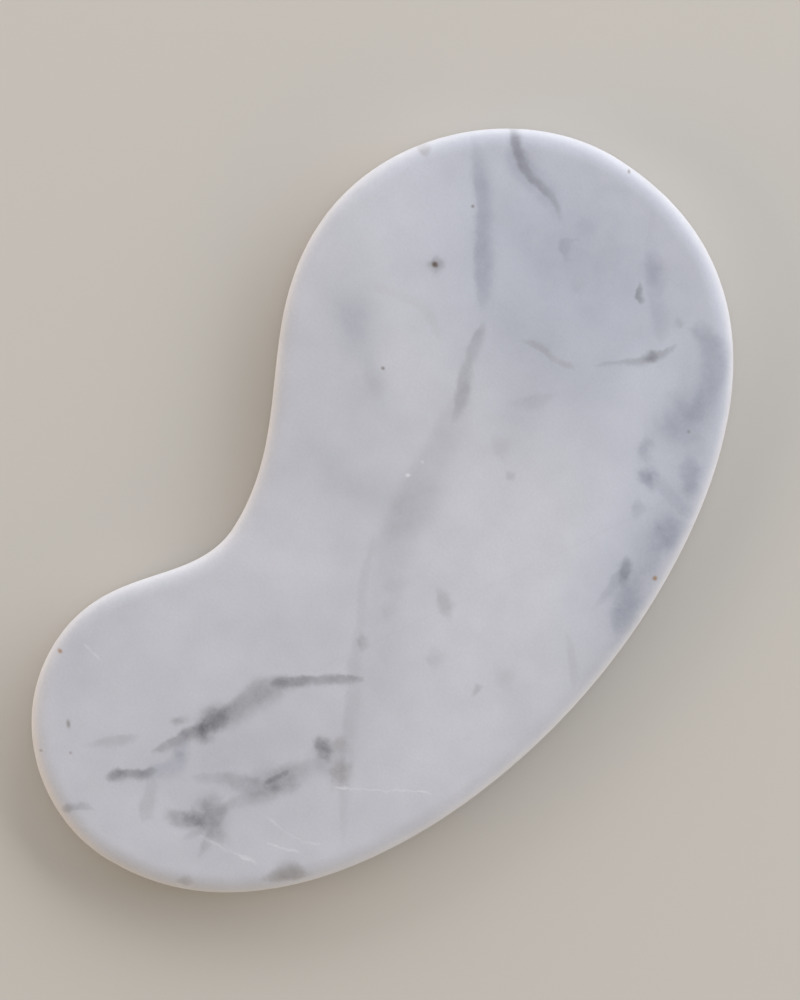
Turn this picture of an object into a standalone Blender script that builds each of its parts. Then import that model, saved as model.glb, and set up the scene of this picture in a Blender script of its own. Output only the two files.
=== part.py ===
# Gua sha scraper: one flat slab of white marble, ground to outline and rounded all round its rim.
# Metres, +Z up. The long axis lies along Y with the broad head at +Y, the waist is cut into the -X
# side, and the slab rests on Z = 0.

import bpy

# Overall sizes
LENGTH = 0.100
WIDTH = 0.056
THICKNESS = 0.006
EDGE_RADIUS = 0.0015  # rounding of the upper and the lower rim

# Where the outline is furthest out, measured from the head end, the toe end and the waist side
HEAD_TOP_INSET = 0.0253  # waist side to the top of the head
HEAD_SIDE_DROP = 0.0255  # head end to the widest point of the head
WAIST_DEPTH = 0.0104  # waist side to the deepest point of the waist
WAIST_RISE = 0.0404  # toe end to the deepest point of the waist
TOE_SIDE_RISE = 0.018  # toe end to the widest point of the toe
TOE_TIP_INSET = 0.0184  # waist side to the tip of the toe
BELLY_RISE = 0.0577  # toe end to the furthest point of the long back

# Fullness of the curve on each side of those points: the handle's share of the way to the next
# point, where 0.55 is a quarter of an ellipse and more is squarer
HEAD_TOP_FULLNESS = (0.74, 0.50)
HEAD_SIDE_FULLNESS = (0.55, 0.39)
WAIST_FULLNESS = (0.38, 0.38)
TOE_SIDE_FULLNESS = (0.50, 0.58)
TOE_TIP_FULLNESS = (0.51, 0.62)
BELLY_FULLNESS = (0.45, 0.52)

# Facets
SPAN_STEPS = 20  # straight steps along each of the six spans of the outline
RIM_STEPS = 4  # extra steps round each rounded rim

MARBLE_COLOUR = (0.58, 0.58, 0.62, 1.0)
MARBLE_ROUGHNESS = 0.35


def clear_scene():
    for old_object in list(bpy.data.objects):
        bpy.data.objects.remove(old_object, do_unlink=True)


def marble_material():
    material = bpy.data.materials.new("polished_white_marble")
    material.use_nodes = True
    shader = material.node_tree.nodes["Principled BSDF"]
    shader.inputs["Base Color"].default_value = MARBLE_COLOUR
    shader.inputs["Roughness"].default_value = MARBLE_ROUGHNESS
    shader.inputs["Metallic"].default_value = 0.0
    material.diffuse_color = MARBLE_COLOUR
    return material


def outline_points():
    # Counterclockwise from the top of the head: place, heading, fullness behind and ahead
    waist_side = -WIDTH / 2
    toe_end = -LENGTH / 2
    left, right, down, up = (-1, 0), (1, 0), (0, -1), (0, 1)
    return [
        ((waist_side + HEAD_TOP_INSET, LENGTH / 2), left, HEAD_TOP_FULLNESS),
        ((waist_side, LENGTH / 2 - HEAD_SIDE_DROP), down, HEAD_SIDE_FULLNESS),
        ((waist_side + WAIST_DEPTH, toe_end + WAIST_RISE), down, WAIST_FULLNESS),
        ((waist_side, toe_end + TOE_SIDE_RISE), down, TOE_SIDE_FULLNESS),
        ((waist_side + TOE_TIP_INSET, toe_end), right, TOE_TIP_FULLNESS),
        ((WIDTH / 2, toe_end + BELLY_RISE), up, BELLY_FULLNESS),
    ]


def handle_end(place, heading, neighbour, fullness, side):
    # A handle runs along the heading, as far as its share of the way to the neighbouring point
    reach = sum(abs((neighbour[axis] - place[axis]) * heading[axis]) for axis in range(2))
    return [place[axis] + side * fullness * reach * heading[axis] for axis in range(2)] + [0.0]


def draw_outline(curve):
    points = outline_points()
    spline = curve.splines.new("BEZIER")
    spline.bezier_points.add(len(points) - 1)
    spline.use_cyclic_u = True
    spline.use_smooth = True
    for index, (place, heading, fullness) in enumerate(points):
        behind = points[index - 1][0]
        ahead = points[(index + 1) % len(points)][0]
        knot = spline.bezier_points[index]
        knot.handle_left_type = "FREE"
        knot.handle_right_type = "FREE"
        knot.co = (*place, 0.0)
        knot.handle_left = handle_end(place, heading, behind, fullness[0], -1)
        knot.handle_right = handle_end(place, heading, ahead, fullness[1], 1)


def scraper_stone(collection):
    # The rounding bulges out by its own radius, so the flat faces are drawn that much inside the outline
    rim_radius = min(EDGE_RADIUS, THICKNESS / 2)
    curve = bpy.data.curves.new("scraper_stone", "CURVE")
    curve.dimensions = "2D"
    curve.fill_mode = "BOTH"
    curve.resolution_u = SPAN_STEPS
    curve.render_resolution_u = 0
    curve.extrude = THICKNESS / 2 - rim_radius
    curve.bevel_depth = rim_radius
    curve.bevel_resolution = RIM_STEPS
    curve.offset = -rim_radius
    draw_outline(curve)
    curve.materials.append(marble_material())
    stone = bpy.data.objects.new("scraper_stone", curve)
    stone.location.z = THICKNESS / 2
    collection.objects.link(stone)
    return stone


def main():
    clear_scene()
    collection = bpy.data.collections.new("gua_sha_scraper")
    bpy.context.scene.collection.children.link(collection)
    scraper_stone(collection)


main()
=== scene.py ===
import bmesh
import bpy
import math
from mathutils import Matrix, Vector, noise


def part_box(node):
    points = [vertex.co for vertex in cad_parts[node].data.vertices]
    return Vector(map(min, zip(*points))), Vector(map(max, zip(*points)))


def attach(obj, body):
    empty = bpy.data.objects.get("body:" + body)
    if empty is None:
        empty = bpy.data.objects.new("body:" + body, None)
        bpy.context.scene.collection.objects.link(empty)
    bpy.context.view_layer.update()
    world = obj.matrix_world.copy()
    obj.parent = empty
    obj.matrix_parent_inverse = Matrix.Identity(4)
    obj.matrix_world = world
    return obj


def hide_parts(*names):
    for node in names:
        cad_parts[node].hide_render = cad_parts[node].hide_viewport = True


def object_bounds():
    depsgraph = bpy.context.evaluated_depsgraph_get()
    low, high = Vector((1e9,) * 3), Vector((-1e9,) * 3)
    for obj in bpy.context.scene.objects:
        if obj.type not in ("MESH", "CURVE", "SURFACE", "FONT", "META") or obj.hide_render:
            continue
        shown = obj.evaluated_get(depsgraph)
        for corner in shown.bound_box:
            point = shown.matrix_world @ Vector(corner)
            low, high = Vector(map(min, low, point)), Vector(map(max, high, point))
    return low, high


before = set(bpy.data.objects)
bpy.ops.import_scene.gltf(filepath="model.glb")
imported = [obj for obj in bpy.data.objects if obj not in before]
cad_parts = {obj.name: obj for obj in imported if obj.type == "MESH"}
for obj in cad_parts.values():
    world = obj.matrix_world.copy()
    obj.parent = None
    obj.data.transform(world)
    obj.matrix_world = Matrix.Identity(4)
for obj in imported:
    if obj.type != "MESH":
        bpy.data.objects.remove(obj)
cadLow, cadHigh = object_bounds()
mm = 0.001
print("frame loaded:", sorted(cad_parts))


def linear(hexColour):
    # sRGB hex to the linear colour that a shader takes
    channels = [int(hexColour[i:i + 2], 16) / 255 for i in (1, 3, 5)]
    return [c / 12.92 if c <= 0.04045 else ((c + 0.055) / 1.055) ** 2.4 for c in channels] + [1.0]


def addNode(tree, kind, links, **settings):
    # a node with its settings, each input either linked to a socket or set to a value
    node = tree.nodes.new("ShaderNode" + kind)
    for name, value in settings.items():
        setattr(node, name, value)
    for name, value in links.items():
        if isinstance(value, bpy.types.NodeSocket):
            tree.links.new(value, node.inputs[name])
        else:
            node.inputs[name].default_value = value
    return node


# Stone: the slab's outline is cut from the CAD solid, then thickened and rounded again more finely
stoneForm = {
    "node": "scraper_stone",
    "weld": 0.001 * mm,  # corners of the CAD's loose triangles that are nearer than this are joined
    "outlineCuts": 2,  # extra points between two of the CAD's
    "outlineEasing": 10,  # passes that ease the facets out of the outline
    "easingPull": 0.5,  # how far a pass draws each point to the middle of its neighbours
    "rimWidth": 2.3 * mm,  # the rim is a quarter of an ellipse, wider than it is deep
    "rimDrop": 1.15 * mm,
    "rimSteps": 14,
    "levelNormal": 0.5,  # a face whose normal is steeper than this is one of the two flat ones
    "faceMargin": 0.3 * mm,  # level ring that keeps the flat face's shading flat
    "rimWear": 0.05 * mm,  # how far the rim strays inwards, as one ground by hand does
    "rimWearPatch": 9.0 * mm,  # size of the patches that stray together
}


def sliceOutline(node):
    low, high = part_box(node)
    bm = bmesh.new()
    bm.from_mesh(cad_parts[node].data)
    bmesh.ops.remove_doubles(bm, verts=bm.verts, dist=stoneForm["weld"])
    everything = bm.verts[:] + bm.edges[:] + bm.faces[:]
    bmesh.ops.bisect_plane(bm, geom=everything, plane_co=(low + high) / 2, plane_no=(0, 0, 1),
                           clear_inner=True, clear_outer=True)
    bmesh.ops.subdivide_edges(bm, edges=bm.edges, cuts=stoneForm["outlineCuts"])
    for _ in range(stoneForm["outlineEasing"]):
        bmesh.ops.smooth_vert(bm, verts=bm.verts, factor=stoneForm["easingPull"],
                              use_axis_x=True, use_axis_y=True)
    return bm


def wearRim(bm):
    # a rim rounded by hand strays inwards a little where it turns down
    bm.normal_update()
    for vert in bm.verts:
        stray = (1 + noise.noise(vert.co / stoneForm["rimWearPatch"])) / 2
        turnedDown = 1 - abs(vert.normal.z)
        vert.co -= vert.normal * stoneForm["rimWear"] * stray * turnedDown


def roundRim(bm, flatFaces):
    # each step goes in along the ellipse and out towards the flat face
    steps = [math.pi / 2 * i / stoneForm["rimSteps"] for i in range(stoneForm["rimSteps"] + 1)]
    for before, after in zip(steps, steps[1:]):
        width = stoneForm["rimWidth"] * (math.cos(before) - math.cos(after))
        rise = stoneForm["rimDrop"] * (math.sin(after) - math.sin(before))
        bmesh.ops.inset_region(bm, faces=flatFaces, thickness=width, depth=rise, use_even_offset=True)
    bmesh.ops.inset_region(bm, faces=flatFaces, thickness=stoneForm["faceMargin"], use_even_offset=True)


def buildStone():
    low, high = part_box(stoneForm["node"])
    wall = high.z - low.z - 2 * stoneForm["rimDrop"]
    bm = sliceOutline(stoneForm["node"])
    underside = bmesh.ops.contextual_create(bm, geom=bm.edges[:])["faces"]
    bmesh.ops.translate(bm, verts=bm.verts, vec=(0, 0, -wall / 2))
    raised = bmesh.ops.extrude_face_region(bm, geom=underside)["geom"]
    raisedVerts = [item for item in raised if isinstance(item, bmesh.types.BMVert)]
    bmesh.ops.translate(bm, verts=raisedVerts, vec=(0, 0, wall))
    bmesh.ops.recalc_face_normals(bm, faces=bm.faces)
    roundRim(bm, [face for face in bm.faces if abs(face.normal.z) > stoneForm["levelNormal"]])
    wearRim(bm)
    mesh = bpy.data.meshes.new("marble_slab")
    bm.to_mesh(mesh)
    bm.free()
    mesh.shade_smooth()
    stone = bpy.data.objects.new("marble_slab", mesh)
    bpy.context.scene.collection.objects.link(stone)
    return stone


# Marble: pale crystalline limestone, sawn, ground and polished to a satin. The eye gets a cool milky
# white with soft cloudy tone, smoky grey veins that feather at their edges, and a few rusty specks.
# Places are millimetres in the slab's own frame, read from the upper face.
marble = {
    "body": "#BEBFC7",
    "roughness": 0.50,
    "ior": 1.55,
    "dip": (0.55, -0.35),  # how far veins run sideways for each millimetre of depth
    "stirSize": 6.0,  # mm, swirls at the borders of the cloudy patches
    "stir": 1.6,  # mm, how far these swirls push
    "driftSize": 7.0,  # mm, slow bends of the veins
    "drift": 0.4,  # mm
    "ragSize": 0.9,  # mm, ragged edges of the veins
    "rag": 0.36,  # mm
    "lopsided": 0.3,  # how much sharper a vein ends on one side than on the other
    "veinTip": 0.1,  # share of its width that a vein keeps where it runs out
    "blotSize": 2.1,  # mm, uneven borders of the spots
    "blot": 1.0,  # mm
    "stirDetail": 3.0,  # finer swirls inside each of these four
    "cloudEdge": 1.0,  # clouds fade softly, while veins keep their tone nearly to their borders
    "spotEdge": 1.6,
    "veinEdge": 1.65,
    "mottleSize": 1.4,  # mm, patches of lighter and darker crystals inside a vein
    "mottleDetail": 5.0,
    "mottleBreak": 0.7,  # strength of the finer patches
    "mottleSpan": (0.3, 0.7),  # values of this noise that count as the palest and the darkest
    "cloudSize": 5.0,  # mm, faint unevenness of the milky body
    "cloud": 0.04,
    "grainSize": 0.30,  # mm, coarser than the real crystals so that it shows
    "grain": 0.035,
    "toneDetail": 3.0,
    "noiseSpan": (0.25, 0.75),  # nearly all values of a noise lie in here
    "polish": 0.07,  # how far the roughness strays
    "polishSize": 2.5,  # mm
    "polishDetail": 4.0,
    "glow": 0.6,  # share of the light that goes into the stone and comes out again
    "glowTint": (1.0, 0.95, 0.9),
    "glowDepth": 0.9,  # mm
    "rimHighlightTint": "#ECE8E4",  # painted highlight: the rim is drawn paler than the faces, standing in for the bright rim line that the lamps alone do not make
    "rimHighlightShare": 0.28,  # share of this painted highlight on the wall
    "rimHighlightDepth": 0.9,  # mm from the nearer flat face, over which this painted highlight grows
    "pitHeight": 0.004,  # mm, what grinding left between the crystals
    "pitDetail": 2.0,
}

# Each tint: colour, and how far the crystals break it up
tints = {
    "milk": ("#D3D3DB", 0.2),
    "cool": ("#A9B6CB", 0.1),
    "shade": ("#969AA5", 0.2),
    "lilac": ("#8E90A3", 0.2),
    "blue": ("#737A8B", 0.22),
    "grey": ("#5C5C62", 0.25),
    "brown": ("#77706A", 0.2),
    "rust": ("#5A4434", 0.1),
    "amber": ("#96703C", 0.1),
    "chalk": ("#F2F2F6", 0.3),
}

# Each cloud, spot or speck: tint, strength, middle, half length and half width in mm, and turn in degrees
clouds = [
    ("milk", 0.40, (-20.0, 32.0), (7.0, 8.0), 30),
    ("milk", 0.30, (-11.0, 19.0), (4.5, 8.0), 10),
    ("milk", 0.36, (9.0, 7.0), (10.0, 12.0), 0),
    ("milk", 0.18, (18.0, 12.0), (3.5, 12.0), 0),
    ("milk", 0.25, (14.0, 27.0), (2.8, 7.0), 10),
    ("milk", 0.30, (16.5, -13.5), (6.0, 12.0), -10),
    ("milk", 0.18, (14.0, -4.0), (6.0, 6.0), 0),
    ("milk", 0.25, (-12.0, -10.0), (6.0, 4.0), 10),
    ("milk", 0.12, (-16.0, -24.0), (7.0, 5.0), 20),
    ("cool", 0.32, (-1.0, 36.0), (28.0, 15.0), -15),
    ("cool", 0.20, (22.0, 14.0), (6.0, 16.0), 5),
    ("shade", 0.30, (-1.0, 38.0), (9.0, 8.0), -30),
    ("shade", 0.19, (1.0, 26.0), (12.0, 4.5), -8),
    ("shade", 0.20, (3.5, 19.0), (3.5, 5.5), 10),
    ("shade", 0.24, (-10.0, 2.0), (8.0, 3.2), 0),
    ("shade", 0.08, (-14.0, 9.0), (4.0, 4.0), 0),
    ("shade", 0.20, (-13.0, 13.0), (5.5, 2.2), -38),
    ("shade", 0.14, (-25.0, -28.0), (4.0, 6.0), 0),
    ("shade", 0.18, (-3.5, -33.0), (9.0, 6.0), 40),
    ("shade", 0.12, (19.0, -8.5), (5.0, 2.5), -40),
    ("blue", 0.25, (-18.7, 17.7), (3.8, 2.4), -38),
    ("blue", 0.08, (9.0, 40.0), (5.0, 6.0), 30),
    ("blue", 0.16, (20.5, 31.0), (3.0, 8.0), 20),
    ("blue", 0.32, (25.0, 13.0), (2.2, 10.0), 5),
]

spots = [
    # knots and blots in the veins
    ("grey", 0.60, (-7.5, -29.6), (2.1, 1.4), 64),
    ("grey", 0.32, (-8.4, -31.8), (0.9, 1.1), 0),
    ("grey", 0.30, (-11.0, -31.8), (0.5, 0.9), -30),
    ("grey", 0.16, (-8.8, -35.3), (0.9, 0.8), 0),
    ("grey", 0.48, (-3.6, -40.6), (1.1, 0.9), 20),
    ("grey", 0.46, (-2.4, -39.2), (1.9, 1.7), 0),
    ("grey", 0.31, (-5.0, -41.5), (1.5, 1.0), 20),
    ("grey", 0.26, (-0.6, -40.4), (1.5, 1.3), 0),
    ("grey", 0.56, (4.9, -25.8), (1.2, 0.9), -25),
    ("brown", 0.30, (6.3, -24.5), (0.9, 1.0), 0),
    ("brown", 0.36, (8.0, -27.1), (1.1, 1.4), 20),
    ("grey", 0.18, (6.3, -26.8), (2.3, 1.9), -20),
    ("grey", 0.25, (2.0, -31.5), (2.6, 1.6), 50),
    ("lilac", 0.32, (7.5, 41.0), (1.9, 1.2), -50),
    ("grey", 0.30, (12.4, 32.5), (1.0, 0.6), 55),
    ("blue", 0.32, (19.4, 28.2), (2.5, 3.2), -10),
    ("blue", 0.36, (17.9, 23.4), (0.9, 1.4), 20),
    ("blue", 0.48, (19.7, 20.7), (1.2, 1.0), -20),
    ("blue", 0.34, (23.9, 23.2), (2.0, 1.2), -50),
    ("blue", 0.44, (25.2, 16.2), (1.7, 2.0), 10),
    ("blue", 0.44, (23.1, 10.2), (0.9, 1.3), 15),
    ("blue", 0.38, (25.8, 6.2), (1.5, 4.2), 18),
    ("lilac", 0.20, (-1.6, 41.4), (1.2, 0.9), 0),
    # halo round the largest speck
    ("grey", 0.38, (-14.1, 28.3), (0.9, 0.9), 0),
]

specks = [
    ("rust", 0.90, (-14.1, 28.3), (0.38, 0.32), 0),
    ("rust", 0.55, (-14.0, 36.3), (0.20, 0.20), 0),
    ("rust", 0.55, (-12.8, 15.0), (0.24, 0.20), 0),
    ("amber", 0.80, (26.7, 11.2), (0.32, 0.28), 0),
    ("amber", 0.75, (-26.8, -32.5), (0.26, 0.24), 0),
    ("rust", 0.45, (-21.6, -39.0), (0.50, 0.24), -50),
    ("rust", 0.40, (-22.5, -43.4), (0.18, 0.18), 0),
    ("rust", 0.35, (-19.6, -41.7), (0.18, 0.18), 0),
    ("rust", 0.65, (-0.7, 49.2), (0.20, 0.18), 0),
    ("rust", 0.35, (20.9, 27.6), (0.20, 0.20), 0),
    ("chalk", 0.40, (-3.8, 6.1), (0.30, 0.20), 40),
    ("chalk", 0.20, (-3.2, 8.3), (0.22, 0.18), 0),
]

# Each vein: tint, half width in mm, strength, its path, and its fullness along the path
veins = [
    # head
    ("grey", 0.55, 0.40, [(-14.6, 46.2), (-13.6, 44.9), (-12.0, 43.6), (-10.6, 42.8), (-8.8, 42.3),
                          (-6.8, 41.9), (-5.0, 40.7)], (0.8, 1.0, 1.0, 0.9, 0.7, 0.6, 0.2)),
    ("lilac", 1.40, 0.34, [(-14.2, 45.2), (-12.6, 43.4), (-10.4, 42.4), (-8.2, 41.9), (-5.6, 40.6)],
     (0.6, 1.0, 0.9, 0.8, 0.3)),
    ("lilac", 0.80, 0.26, [(-16.2, 40.6), (-14.1, 38.2), (-12.4, 35.6), (-10.8, 33.0), (-9.3, 30.4),
                           (-8.0, 28.4), (-6.9, 27.2)], (0.3, 1.0, 0.9, 0.8, 1.0, 1.0, 0.3)),
    ("blue", 1.00, 0.22, [(-18.0, 42.8), (-14.1, 38.2), (-12.4, 35.6), (-10.8, 33.0), (-8.8, 29.8),
                          (-6.9, 27.2)], (0.3, 1.0, 0.9, 1.0, 1.0, 0.4)),
    ("lilac", 0.60, 0.42, [(-1.8, 39.4), (-2.9, 38.7), (-2.7, 37.6), (-1.5, 37.0)], (0.5, 1.0, 1.0, 0.6)),
    ("brown", 0.60, 0.35, [(-23.0, 39.0), (-22.3, 38.6), (-21.4, 38.2)], (0.3, 1.0, 0.2)),
    # seam down the middle
    ("grey", 0.68, 0.28, [(-5.8, 25.2), (-5.5, 22.8), (-4.9, 20.4), (-4.2, 18.5), (-3.4, 16.6),
                          (-2.6, 14.0)], (0.5, 0.9, 0.8, 1.0, 0.8, 0.2)),
    ("grey", 2.00, 0.16, [(-3.6, 17.5), (-3.0, 13.0), (-2.6, 9.5), (-2.4, 7.0), (-2.2, 4.2), (-2.0, 1.0),
                          (-2.2, -1.6)], (0.3, 0.7, 0.8, 1.0, 1.0, 0.4)),
    ("grey", 1.60, 0.06, [(-1.8, 1.0), (-0.8, -2.4), (1.3, -7.8), (3.6, -13.2), (6.1, -18.5),
                          (8.6, -23.5)], (0.8, 1.0, 1.0, 0.9, 0.3)),
    ("grey", 0.50, 0.09, [(-3.4, -1.7), (-1.9, -6.6), (0.3, -11.0), (2.3, -15.4), (3.4, -17.4)],
     (0.4, 0.8, 1.0, 1.0, 0.8)),
    ("grey", 0.70, 0.13, [(3.4, -16.8), (5.0, -20.2), (6.6, -23.6), (9.4, -28.8), (12.4, -34.0),
                          (13.5, -36.5)], (0.5, 1.0, 1.0, 0.5, 0.0)),
    # toe, upper vein with its dark knot and branches
    ("grey", 0.50, 0.42, [(4.2, -16.5), (2.0, -17.9), (0.0, -19.3), (-2.2, -20.8), (-4.2, -22.5)],
     (0.5, 1.0, 0.9, 1.0, 0.6)),
    ("grey", 1.30, 0.38, [(-1.2, -20.2), (-4.0, -22.4), (-5.4, -24.4), (-6.2, -26.6), (-6.9, -28.6),
                          (-8.2, -30.6)], (0.3, 0.7, 1.0, 1.0, 0.8, 0.5)),
    ("grey", 0.60, 0.46, [(-8.2, -30.8), (-9.4, -32.2), (-10.2, -33.8), (-10.9, -35.2), (-11.6, -36.3)],
     (1.0, 1.0, 0.9, 0.7, 0.5)),
    ("lilac", 0.90, 0.30, [(-9.6, -33.0), (-9.2, -34.8), (-8.8, -36.2), (-10.0, -38.0), (-11.2, -39.2)],
     (0.6, 1.0, 1.0, 1.0, 0.6)),
    ("grey", 0.60, 0.56, [(-10.4, -38.4), (-11.8, -39.6), (-13.0, -40.2), (-14.0, -41.0), (-14.5, -41.6)],
     (0.4, 0.9, 0.7, 1.0, 0.6)),
    ("grey", 0.75, 0.17, [(-10.3, -39.4), (-9.4, -41.0), (-9.0, -42.2), (-8.4, -43.4)],
     (0.6, 0.8, 1.0, 0.7)),
    ("grey", 0.55, 0.20, [(-14.0, -36.0), (-15.4, -37.2), (-16.8, -38.4), (-18.6, -40.2)],
     (0.3, 1.0, 0.8, 0.2)),
    # toe, lower vein
    ("grey", 1.10, 0.20, [(5.4, -27.0), (3.8, -29.0), (2.7, -30.4), (1.5, -32.2)], (0.4, 0.8, 1.0, 0.6)),
    ("grey", 0.95, 0.30, [(3.4, -31.0), (1.6, -32.8), (-0.4, -33.6), (-2.6, -34.3), (-3.8, -35.0),
                          (-5.8, -36.2)], (0.3, 0.7, 1.0, 0.9, 0.5, 0.4)),
    ("grey", 0.32, 0.42, [(2.7, -30.2), (2.0, -31.3), (1.3, -32.5)], (0.6, 1.0, 0.6)),
    ("grey", 0.80, 0.26, [(4.4, -31.0), (3.2, -32.2), (1.6, -34.0), (0.1, -35.4), (-0.8, -36.4),
                          (-1.6, -37.6)], (0.5, 0.7, 0.9, 0.8, 0.7, 0.4)),
    ("grey", 0.60, 0.20, [(-2.9, -40.8), (-2.9, -42.0), (-3.3, -43.2)], (1.0, 0.8, 0.2)),
    ("grey", 0.50, 0.22, [(-1.2, -40.5), (-1.0, -42.0), (-0.7, -44.0)], (0.5, 1.0, 0.3)),
    ("brown", 0.90, 0.50, [(7.4, -42.0), (8.4, -41.0), (9.4, -40.2), (11.6, -39.0)], (0.4, 1.0, 1.0, 0.2)),
    ("brown", 0.60, 0.30, [(-0.9, -47.6), (-0.2, -47.2), (0.6, -46.9)], (0.6, 1.0, 0.4)),
    ("grey", 0.40, 0.28, [(-16.6, -47.8), (-15.8, -46.9), (-15.0, -46.1), (-13.7, -45.8)],
     (1.0, 1.0, 0.8, 0.2)),
    # right of the head and along the back
    ("lilac", 1.00, 0.27, [(4.2, 46.2), (5.2, 43.8), (6.6, 42.0), (7.8, 40.6), (9.0, 38.9), (10.6, 37.0),
                           (12.4, 35.0)], (0.2, 0.4, 0.8, 1.0, 0.7, 0.9, 0.5)),
    ("grey", 0.30, 0.42, [(7.1, 38.9), (7.4, 38.0), (8.2, 37.3)], (0.5, 1.0, 0.8)),
    ("grey", 0.52, 0.36, [(14.2, 35.2), (13.6, 33.9), (12.6, 32.8), (11.8, 31.7), (10.6, 30.7), (9.2, 29.7),
                          (7.8, 28.6)], (0.4, 0.8, 1.0, 0.8, 0.5, 0.4, 0.2)),
    ("grey", 0.50, 0.15, [(13.0, 37.2), (13.6, 37.9)], (0.5, 1.0, 0.5)),
    ("blue", 1.50, 0.32, [(15.6, 38.0), (17.4, 37.3), (18.8, 36.0), (19.8, 33.8), (20.2, 31.2),
                          (20.0, 29.0)], (0.8, 1.0, 1.0, 0.8, 0.7, 0.5)),
    ("blue", 0.70, 0.16, [(19.6, 20.6), (22.0, 20.4), (24.4, 19.8), (26.2, 19.4)], (0.6, 1.0, 0.8, 0.8)),
    ("grey", 0.50, 0.28, [(22.5, 11.4), (23.0, 10.4), (23.4, 9.4), (24.0, 8.4)], (0.5, 1.0, 0.9, 0.5)),
    ("blue", 0.45, 0.20, [(22.9, 9.8), (22.8, 7.5), (22.7, 4.6)], (1.0, 1.0, 0.3)),
    ("grey", 0.70, 0.16, [(20.0, 17.6), (20.9, 16.0)], (0.6, 1.0, 0.6)),
    ("grey", 0.50, 0.12, [(21.4, 0.4), (23.4, -1.8), (25.2, -4.4)], (0.3, 1.0, 0.3)),
    # scattered smudges
    ("grey", 0.75, 0.23, [(6.4, -3.3), (7.5, -4.2), (9.3, -5.3)], (0.5, 1.0, 0.2)),
    ("grey", 1.20, 0.09, [(0.6, -4.8), (2.4, -6.4)], (0.5, 1.0, 0.5)),
    ("grey", 0.90, 0.09, [(2.0, -7.4), (3.0, -9.2)], (0.5, 1.0, 0.5)),
    ("grey", 0.55, 0.22, [(1.4, -12.4), (2.4, -13.8)], (0.5, 1.0, 0.5)),
    ("grey", 0.90, 0.11, [(9.4, -9.6), (10.6, -11.1)], (0.5, 1.0, 0.5)),
    ("grey", 0.35, 0.24, [(16.0, -11.3), (16.4, -10.0)], (0.5, 1.0, 0.5)),
    ("brown", 1.20, 0.09, [(17.0, -7.5), (19.0, -8.3)], (0.5, 1.0, 0.5)),
    ("grey", 0.80, 0.08, [(0.6, 35.2), (1.8, 34.4)], (0.5, 1.0, 0.5)),
    ("grey", 0.70, 0.12, [(5.4, 22.8), (3.6, 20.9), (1.8, 19.4)], (0.3, 1.0, 0.3)),
    ("grey", 0.80, 0.10, [(1.8, 15.4), (3.6, 14.0), (5.0, 13.2)], (0.3, 1.0, 0.3)),
    ("grey", 0.45, 0.18, [(5.8, 12.4), (6.7, 12.0)], (0.5, 1.0, 0.5)),
    ("grey", 1.00, 0.08, [(-14.6, 14.4), (-12.8, 12.8), (-11.0, 11.6)], (0.4, 1.0, 0.3)),
    # thin rusty lines
    ("rust", 0.38, 0.17, [(-0.8, 26.1), (1.6, 26.5), (3.4, 26.2), (5.6, 26.6)], (0.4, 1.0, 0.7, 0.6)),
    ("brown", 0.60, 0.07, [(-18.4, 22.4), (-15.6, 23.0), (-13.0, 23.4), (-11.0, 22.5), (-9.2, 21.4)],
     (0.6, 0.6, 1.0, 1.0, 0.3)),
    # white scratches from use
    ("chalk", 0.09, 0.16, [(8.2, -28.9), (10.0, -28.0), (13.0, -26.3), (16.0, -24.4), (18.3, -23.3)],
     (0.4, 0.8, 1.0, 0.8, 0.4)),
    ("chalk", 0.09, 0.09, [(3.5, -35.7), (6.0, -36.1), (8.5, -36.0), (10.5, -35.2)], (0.5, 1.0, 1.0, 0.5)),
    ("chalk", 0.10, 0.15, [(5.3, -38.3), (7.5, -37.8), (9.0, -37.3)], (0.5, 1.0, 0.5)),
    ("chalk", 0.09, 0.09, [(-2.0, -41.8), (1.5, -41.6), (5.5, -41.0)], (0.4, 1.0, 0.5)),
    ("chalk", 0.09, 0.12, [(-24.9, -30.2), (-23.6, -30.6), (-22.3, -30.8)], (0.5, 1.0, 0.5)),
]


def drawSpot(tree, place, edge, spot, clear):
    # a spot takes its share of the clear stone, less with the distance from its middle
    strength, middle, halfSizes, turn = spot[1:]
    away = addNode(tree, "VectorMath", {0: place, 1: (*middle, 0)}, operation="SUBTRACT").outputs[0]
    square = 0.0
    for halfSize, quarterTurn in zip(halfSizes, (0, 90)):
        heading = math.radians(turn + quarterTurn)
        axis = Vector((math.cos(heading), math.sin(heading), 0)) / halfSize
        share = addNode(tree, "VectorMath", {0: away, 1: axis}, operation="DOT_PRODUCT").outputs["Value"]
        square = addNode(tree, "Math", {0: share, 1: share, 2: square}, operation="MULTIPLY_ADD").outputs[0]
    border = addNode(tree, "Math", {0: square, 1: edge}, operation="POWER").outputs[0]
    fade = addNode(tree, "Math", {0: 1 / math.e, 1: border}, operation="POWER").outputs[0]
    mark = addNode(tree, "Math", {0: fade, 1: -strength}, operation="MULTIPLY").outputs[0]
    return addNode(tree, "Math", {0: clear, 1: mark, 2: clear}, operation="MULTIPLY_ADD").outputs[0]


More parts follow.
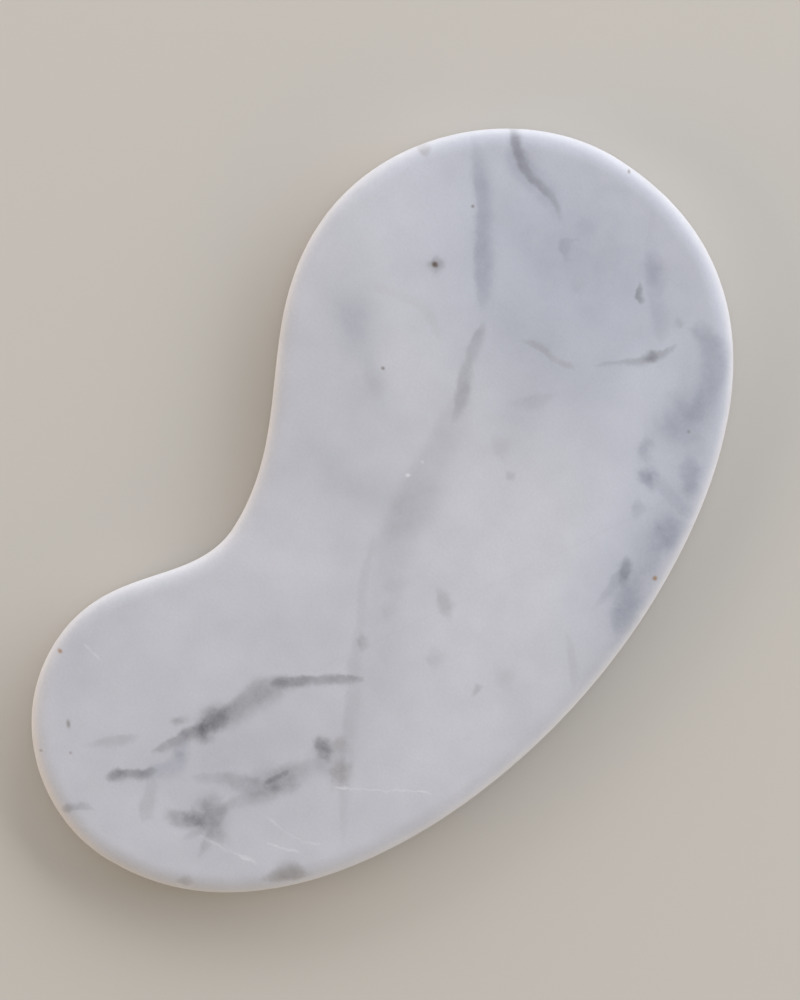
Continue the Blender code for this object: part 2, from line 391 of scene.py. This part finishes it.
def drawVein(tree, place, edge, vein, clear):
    # lay the place out along the vein's chord, then fade with the distance off its bent line
    halfWidth, strength, path, fullness = vein[1:]
    alongUnit = (Vector(path[-1]) - Vector(path[0])).normalized()
    acrossUnit = Vector((-alongUnit.y, alongUnit.x))
    along, across = [
        addNode(tree, "VectorMath", {0: place, 1: (*unit, 0)}, operation="DOT_PRODUCT").outputs["Value"]
        for unit in (alongUnit, acrossUnit)
    ]
    bend = [(Vector(point).dot(alongUnit), Vector(point).dot(acrossUnit)) for point in path]
    first, last = bend[0][0], bend[-1][0]
    step = (last - first) / (len(fullness) - 1)
    body = [(first + i * step, -strength * share) for i, share in enumerate(fullness)]
    body = [(first - halfWidth, 0), *body, (last + halfWidth, 0)]
    curves = []
    for points in (bend, body):
        curve = addNode(tree, "FloatCurve", {"Value": along})
        curve.mapping.use_clip = False
        curve.mapping.extend = "HORIZONTAL"
        line = curve.mapping.curves[0].points
        line[0].location = points[0]
        line[1].location = points[-1]
        for point in points[1:-1]:
            line.new(*point)
        curve.mapping.update()
        curves.append(curve.outputs[0])
    middle, mark = curves
    off = addNode(tree, "Math", {0: across, 1: middle}, operation="SUBTRACT").outputs[0]
    away = addNode(tree, "Math", {0: off}, operation="ABSOLUTE").outputs[0]
    off = addNode(tree, "Math", {0: away, 1: -marble["lopsided"], 2: off},
                  operation="MULTIPLY_ADD").outputs[0]
    reach = addNode(tree, "Math", {0: mark, 1: -halfWidth / strength, 2: marble["veinTip"] * halfWidth},
                    operation="MULTIPLY_ADD").outputs[0]
    share = addNode(tree, "Math", {0: off, 1: reach}, operation="DIVIDE").outputs[0]
    square = addNode(tree, "Math", {0: share, 1: share}, operation="MULTIPLY").outputs[0]
    border = addNode(tree, "Math", {0: square, 1: edge}, operation="POWER").outputs[0]
    fade = addNode(tree, "Math", {0: 1 / math.e, 1: border}, operation="POWER").outputs[0]
    mark = addNode(tree, "Math", {0: fade, 1: mark}, operation="MULTIPLY").outputs[0]
    return addNode(tree, "Math", {0: clear, 1: mark, 2: clear}, operation="MULTIPLY_ADD").outputs[0]


def marbleMaterial():
    material = bpy.data.materials.new("polished_white_marble")
    material.use_nodes = True
    tree = material.node_tree
    shader = tree.nodes["Principled BSDF"]
    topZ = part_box(stoneForm["node"])[1].z / mm

    # millimetres, with the veins leaning as they go down into the slab
    coords = addNode(tree, "TexCoord", {})
    place = addNode(tree, "VectorMath", {0: coords.outputs["Object"], "Scale": 1 / mm}, operation="SCALE")
    heights = addNode(tree, "SeparateXYZ", {"Vector": place.outputs[0]})
    depth = addNode(tree, "Math", {0: topZ, 1: heights.outputs["Z"]}, operation="SUBTRACT")
    lean = addNode(tree, "VectorMath", {0: (*marble["dip"], 0), "Scale": depth.outputs[0]},
                   operation="SCALE")
    leaning = addNode(tree, "VectorMath", {0: place.outputs[0], 1: lean.outputs[0]}, operation="ADD")

    # slow bends and ragged edges for the veins, uneven borders for the spots, wider swirls for the clouds
    def stirred(start, size, amount):
        swirl = addNode(tree, "TexNoise", {"Vector": place.outputs[0], "Scale": 1 / size,
                                           "Detail": marble["stirDetail"]})
        push = addNode(tree, "VectorMath", {0: swirl.outputs["Color"], 1: (2 * amount, 2 * amount, 0),
                                            2: (-amount, -amount, 0)}, operation="MULTIPLY_ADD")
        return addNode(tree, "VectorMath", {0: start, 1: push.outputs[0]}, operation="ADD").outputs[0]

    swirled = stirred(leaning.outputs[0], marble["stirSize"], marble["stir"])
    bent = stirred(leaning.outputs[0], marble["driftSize"], marble["drift"])
    bent = stirred(bent, marble["ragSize"], marble["rag"])
    blotted = stirred(bent, marble["blotSize"], marble["blot"])

    mottle = addNode(tree, "TexNoise", {"Vector": place.outputs[0], "Scale": 1 / marble["mottleSize"],
                                        "Detail": marble["mottleDetail"], "Roughness": marble["mottleBreak"]})
    palest, darkest = marble["mottleSpan"]
    layers = (
        (drawSpot, clouds, swirled, marble["cloudEdge"]),
        (drawSpot, spots, blotted, marble["spotEdge"]),
        (drawVein, veins, bent, marble["veinEdge"]),
        (drawSpot, specks, leaning.outputs[0], marble["spotEdge"]),
    )
    colour = linear(marble["body"])
    for tint, (hexColour, broken) in tints.items():
        clear = 1.0
        for draw, marks, where, edge in layers:
            for mark in marks:
                if mark[0] == tint:
                    clear = draw(tree, where, edge, mark, clear)
        breakUp = addNode(tree, "MapRange", {"Value": mottle.outputs[0],
                                             "From Min": palest, "From Max": darkest,
                                             "To Min": 1 - broken, "To Max": 1 + broken})
        covered = addNode(tree, "Math", {0: 1.0, 1: clear}, operation="SUBTRACT")
        share = addNode(tree, "Math", {0: covered.outputs[0], 1: breakUp.outputs[0]}, operation="MULTIPLY",
                        use_clamp=True)
        # sockets 6 and 7 are the two colours that are mixed, and 2 is the mixed colour
        colour = addNode(tree, "Mix", {"Factor": share.outputs[0], 6: colour, 7: linear(hexColour)},
                         data_type="RGBA").outputs[2]

    # faint unevenness of the body and its crystals
    least, most = marble["noiseSpan"]
    for size, amount in ((marble["cloudSize"], marble["cloud"]), (marble["grainSize"], marble["grain"])):
        uneven = addNode(tree, "TexNoise", {"Vector": leaning.outputs[0], "Scale": 1 / size,
                                            "Detail": marble["toneDetail"]})
        tone = addNode(tree, "MapRange", {"Value": uneven.outputs[0], "From Min": least, "From Max": most,
                                          "To Min": 1 - amount, "To Max": 1 + amount})
        colour = addNode(tree, "VectorMath", {0: colour, "Scale": tone.outputs[0]},
                         operation="SCALE").outputs[0]

    # painted highlight: the rim is drawn paler by how far it lies from the nearer flat face, with the frame's
    # zero at the underside
    away = addNode(tree, "Math", {0: depth.outputs[0], 1: heights.outputs["Z"]}, operation="MINIMUM")
    rimHighlight = addNode(tree, "MapRange", {"Value": away.outputs[0],
                                      "From Min": 0.0, "From Max": marble["rimHighlightDepth"],
                                      "To Min": 0.0, "To Max": marble["rimHighlightShare"]},
                   interpolation_type="SMOOTHSTEP")
    colour = addNode(tree, "Mix", {"Factor": rimHighlight.outputs[0], 6: colour, 7: linear(marble["rimHighlightTint"])},
                     data_type="RGBA").outputs[2]
    tree.links.new(colour, shader.inputs["Base Color"])

    # the satin polish is uneven, and the crystals stand a few microns apart
    wear = addNode(tree, "TexNoise", {"Vector": place.outputs[0], "Scale": 1 / marble["polishSize"],
                                      "Detail": marble["polishDetail"]})
    polish = addNode(tree, "MapRange", {"Value": wear.outputs[0], "From Min": least, "From Max": most,
                                        "To Min": marble["roughness"] - marble["polish"],
                                        "To Max": marble["roughness"] + marble["polish"]})
    tree.links.new(polish.outputs[0], shader.inputs["Roughness"])
    pits = addNode(tree, "TexNoise", {"Vector": place.outputs[0], "Scale": 1 / marble["grainSize"],
                                      "Detail": marble["pitDetail"]})
    bump = addNode(tree, "Bump", {"Height": pits.outputs[0], "Distance": marble["pitHeight"] * mm,
                                  "Strength": 1.0})
    tree.links.new(bump.outputs[0], shader.inputs["Normal"])
    shader.inputs["IOR"].default_value = marble["ior"]
    shader.inputs["Subsurface Weight"].default_value = marble["glow"]
    shader.inputs["Subsurface Radius"].default_value = marble["glowTint"]
    shader.inputs["Subsurface Scale"].default_value = marble["glowDepth"] * mm
    return material


# Studio: the picture looks straight down, with the stone's length leaning to the right
studio = {
    "lean": 32.25,  # degrees
    "pixelsPerMm": 8.62,
    "picture": (800, 1000),
    "stoneCentre": (407.4, 537.3),  # pixel under the middle of the slab
    "cameraHeight": 450 * mm,
    "sensor": 36.0,  # mm
    "floor": "#BEBAB4",
    "floorReach": 3.0,  # metres from the middle to each side
    "floorRoughness": 0.9,
    "world": "#F0F9FF",
    "worldStrength": 0.435,
}


def pictureToFrame(right, up, height):
    turn = math.radians(studio["lean"])
    across = Vector((math.cos(turn), math.sin(turn), 0))
    along = Vector((-math.sin(turn), math.cos(turn), 0))
    return across * right + along * up + Vector((0, 0, height))


def addCamera():
    width, tall = studio["picture"]
    perPixel = mm / studio["pixelsPerMm"]
    widest = (cadLow.z + cadHigh.z) / 2
    right = (width / 2 - studio["stoneCentre"][0]) * perPixel
    up = (studio["stoneCentre"][1] - tall / 2) * perPixel
    lens = bpy.data.cameras.new("overhead")
    lens.sensor_width = studio["sensor"]
    lens.lens = studio["sensor"] * studio["cameraHeight"] / (tall * perPixel)
    camera = bpy.data.objects.new("overhead", lens)
    camera.location = pictureToFrame(right, up, widest + studio["cameraHeight"])
    camera.rotation_euler.z = math.radians(studio["lean"])
    bpy.context.scene.collection.objects.link(camera)
    bpy.context.scene.camera = camera


# each lamp: where it stands in the picture and above the floor, in metres, its size and its power in watts
lamps = {
    "window": {"right": 0.95, "up": 0.76, "height": 0.60,
               "size": (2.2, 0.84), "power": 21.3, "colour": "#FDFCFF"},
    "sky": {"right": -0.49, "up": 1.15, "height": 0.41,
            "size": (2.2, 0.7), "power": 12.2, "colour": "#FEFCFC"},
    "glow": {"right": -1.20, "up": -0.42, "height": 0.45,
             "size": (1.1, 0.56), "power": 6.8, "colour": "#FFD08C"},
    "bounce": {"right": 0.98, "up": -0.77, "height": 0.31,
               "size": (1.7, 0.56), "power": 4.5, "colour": "#FFE0B4"},
}


def addLamps():
    for name, lamp in lamps.items():
        light = bpy.data.lights.new(name, "AREA")
        light.shape = "RECTANGLE"
        light.size, light.size_y = lamp["size"]
        light.energy = lamp["power"]
        light.color = linear(lamp["colour"])[:3]
        holder = bpy.data.objects.new(name, light)
        holder.location = pictureToFrame(lamp["right"], lamp["up"], lamp["height"])
        holder.rotation_euler = holder.location.to_track_quat("Z", "Y").to_euler()
        bpy.context.scene.collection.objects.link(holder)


def addFloor():
    bm = bmesh.new()
    bmesh.ops.create_grid(bm, x_segments=1, y_segments=1, size=studio["floorReach"])
    mesh = bpy.data.meshes.new("floor")
    bm.to_mesh(mesh)
    bm.free()
    material = bpy.data.materials.new("pale_floor")
    material.use_nodes = True
    shader = material.node_tree.nodes["Principled BSDF"]
    shader.inputs["Base Color"].default_value = linear(studio["floor"])
    shader.inputs["Roughness"].default_value = studio["floorRoughness"]
    mesh.materials.append(material)
    floor = bpy.data.objects.new("floor", mesh)
    bpy.context.scene.collection.objects.link(floor)


def setWorld():
    world = bpy.data.worlds.new("soft_room")
    world.use_nodes = True
    background = world.node_tree.nodes["Background"]
    background.inputs["Color"].default_value = linear(studio["world"])
    background.inputs["Strength"].default_value = studio["worldStrength"]
    bpy.context.scene.world = world
    bpy.context.scene.view_settings.view_transform = "Standard"


stone = buildStone()
print("stone built:", len(stone.data.polygons), "faces")
stone.data.materials.append(marbleMaterial())
print("marble made")
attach(stone, "root")
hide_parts(stoneForm["node"])
addCamera()
addLamps()
addFloor()
setWorld()
print("studio set")
